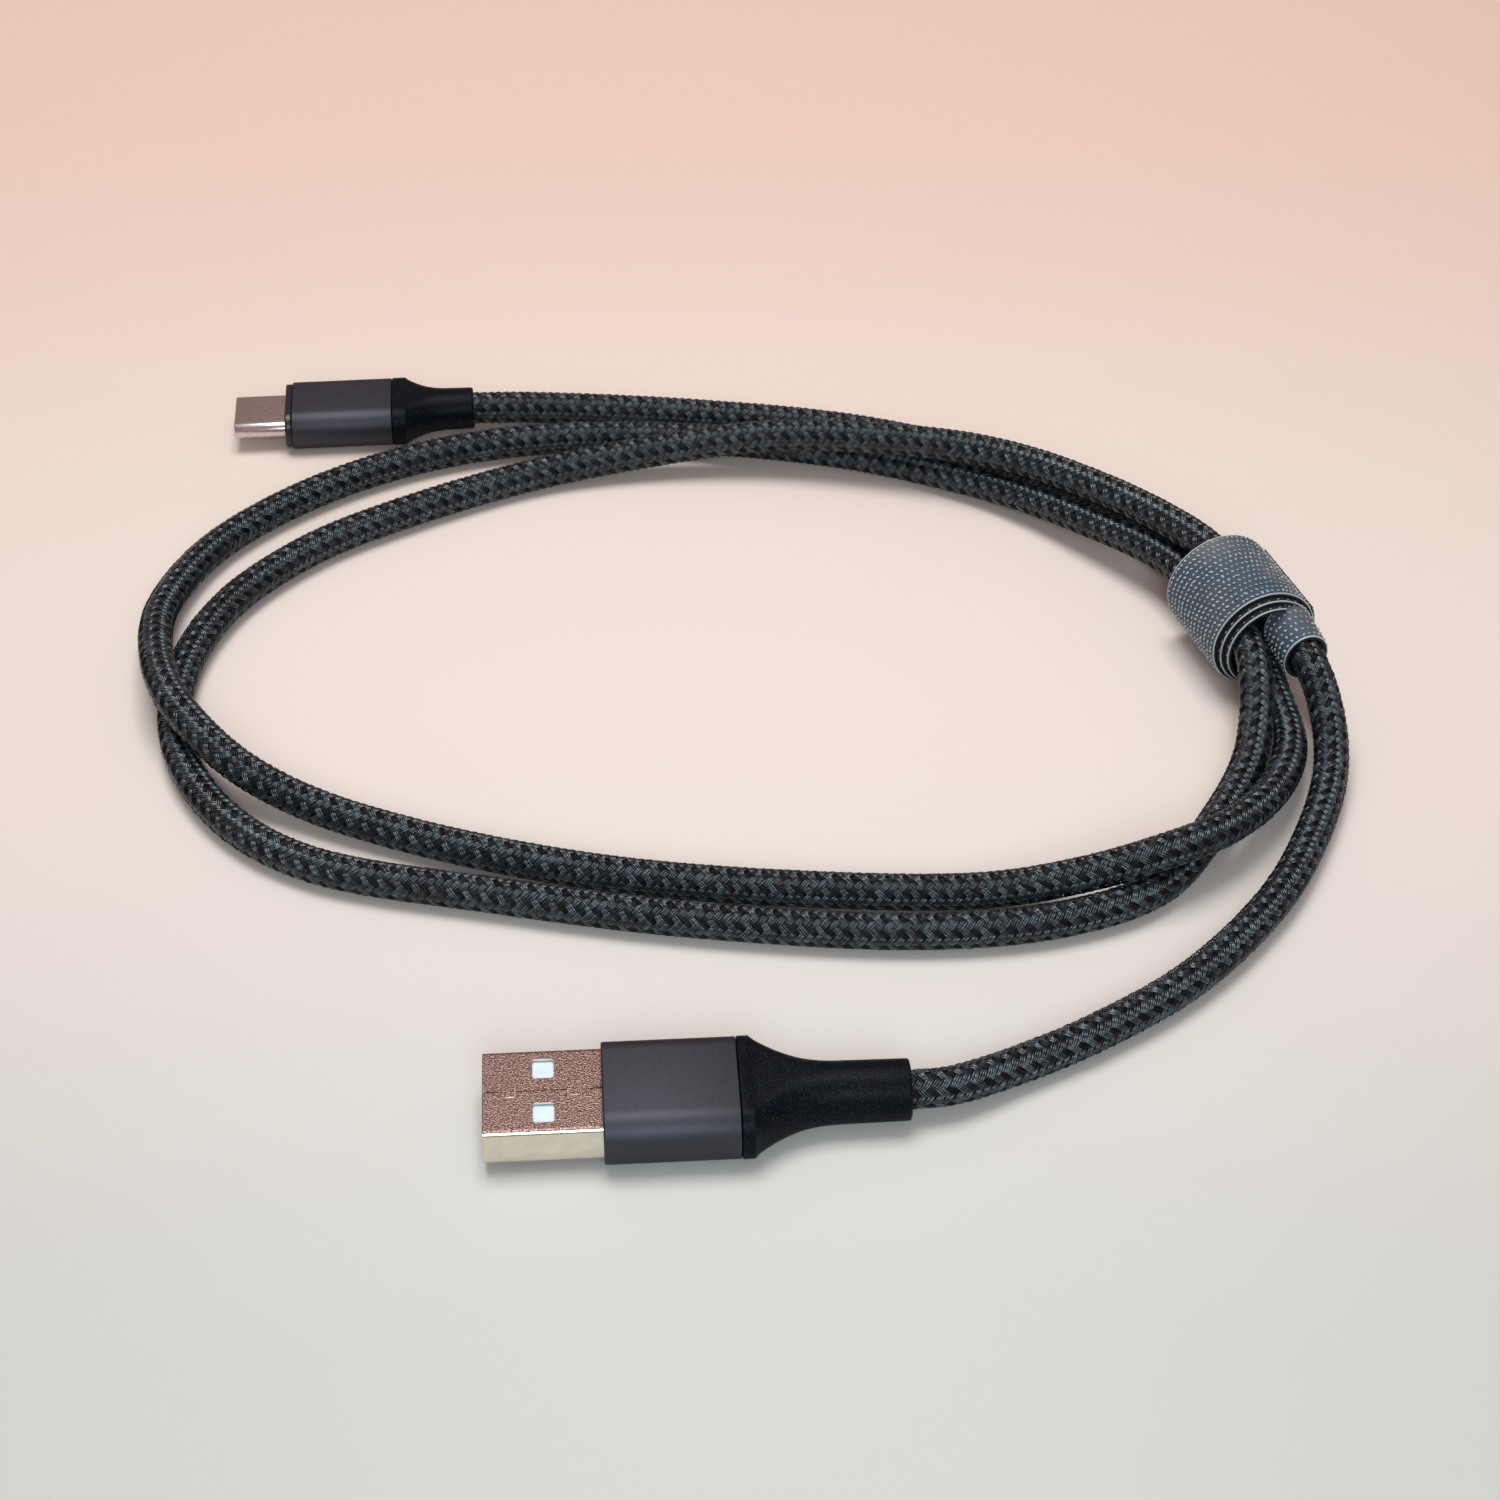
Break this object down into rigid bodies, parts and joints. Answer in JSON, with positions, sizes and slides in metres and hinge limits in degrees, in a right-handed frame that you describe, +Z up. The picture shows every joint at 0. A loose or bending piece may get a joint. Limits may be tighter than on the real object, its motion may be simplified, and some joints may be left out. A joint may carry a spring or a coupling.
{
  "type": "charging cable",
  "caption": "Braided phone charging cable with a flat rectangular plug on one end and a small oval plug on the other, coiled under a hook-and-loop tie.",
  "frame": {"origin": "on the surface the cable lies on, under the middle of the box round the two plugs and the tie", "axes": "+Z up from that surface, +X to the right and +Y away, seen from the side where the rectangular plug lies with its mouth to the left"},
  "size_m": [0.1454, 0.1428, 0.0144],
  "materials": {
    "nickel_shell": "nickel-plated steel, fine bead-blasted satin",
    "white_nylon": "moulded white nylon",
    "black_lcp": "moulded black liquid-crystal polymer",
    "gold_contact": "gold flash over nickel",
    "spring_steel": "bright sprung stainless steel",
    "tinned_steel": "tinned, satin",
    "circuit_board": "green solder mask",
    "chip": "black ceramic body",
    "mould": "natural polyethylene pre-mould",
    "anodised_housing": "bead-blasted and anodised dark grey, satin",
    "front_ring": "black moulded trim ring",
    "boot": "black TPE, satin with a fine spark texture",
    "jacket": "dark grey TPE",
    "cord_braid": "two-tone braided yarn, black and blue-grey",
    "tie_tape": "back-to-back hook-and-loop tape, grey hooks in rows over black pile",
    "wire_red": "extruded PVC",
    "wire_white": "extruded PVC",
    "wire_green": "extruded PVC",
    "wire_black": "extruded PVC"
  },
  "bodies": {
    "cable": {"usb_a_shell": "nickel_shell", "usb_a_insulator": "white_nylon", "usb_a_contact_vbus": "gold_contact", "usb_a_contact_data_minus": "gold_contact", "usb_a_contact_data_plus": "gold_contact", "usb_a_contact_ground": "gold_contact", "usb_a_inner_mould": "mould", "usb_a_housing": "anodised_housing", "usb_a_boot": "boot", "usb_a_jacket_end": "jacket", "usb_a_crimp_ferrule": "tinned_steel", "usb_a_wire_red": "wire_red", "usb_a_wire_white": "wire_white", "usb_a_wire_green": "wire_green", "usb_a_wire_black": "wire_black", "usb_c_shell": "nickel_shell", "usb_c_insulator": "black_lcp", "usb_c_contact_top_1_ground": "gold_contact", "usb_c_contact_top_4_vbus": "gold_contact", "usb_c_contact_top_5_cc": "gold_contact", "usb_c_contact_top_6_data_plus": "gold_contact", "usb_c_contact_top_7_data_minus": "gold_contact", "usb_c_contact_top_9_vbus": "gold_contact", "usb_c_contact_top_12_ground": "gold_contact", "usb_c_contact_bottom_1_ground": "gold_contact", "usb_c_contact_bottom_4_vbus": "gold_contact", "usb_c_contact_bottom_9_vbus": "gold_contact", "usb_c_contact_bottom_12_ground": "gold_contact", "usb_c_circuit_board": "circuit_board", "usb_c_pullup_resistor": "chip", "usb_c_inner_mould": "mould", "usb_c_front_ring": "front_ring", "usb_c_housing": "anodised_housing", "usb_c_boot": "boot", "usb_c_jacket_end": "jacket", "usb_c_crimp_ferrule": "tinned_steel", "usb_c_wire_red": "wire_red", "usb_c_wire_white": "wire_white", "usb_c_wire_green": "wire_green", "usb_c_wire_black": "wire_black", "braided_cord": "cord_braid"},
    "tie": {"tie_strap": "tie_tape"},
    "latch_left": {"usb_c_latch_left": "spring_steel"},
    "latch_right": {"usb_c_latch_right": "spring_steel"}
  },
  "joints": [
    {"name": "tie_slide", "type": "slide", "parent": "cable", "child": "tie", "axis": [0.342, -0.9397, 0], "range_m": [-0.001, 0.001]},
    {"name": "latch_left_flex", "type": "hinge", "parent": "cable", "child": "latch_left", "pos_m": [-0.05889, 0.06816, 0.0028], "axis": [0, 0, -1], "range_deg": [0, 2.5], "stiffness_Nm_per_rad": 0.02},
    {"name": "latch_right_flex", "type": "hinge", "parent": "cable", "child": "latch_right", "pos_m": [-0.05838, 0.06168, 0.0028], "axis": [0, 0, 1], "range_deg": [0, 2.5], "stiffness_Nm_per_rad": 0.02}
  ]
}
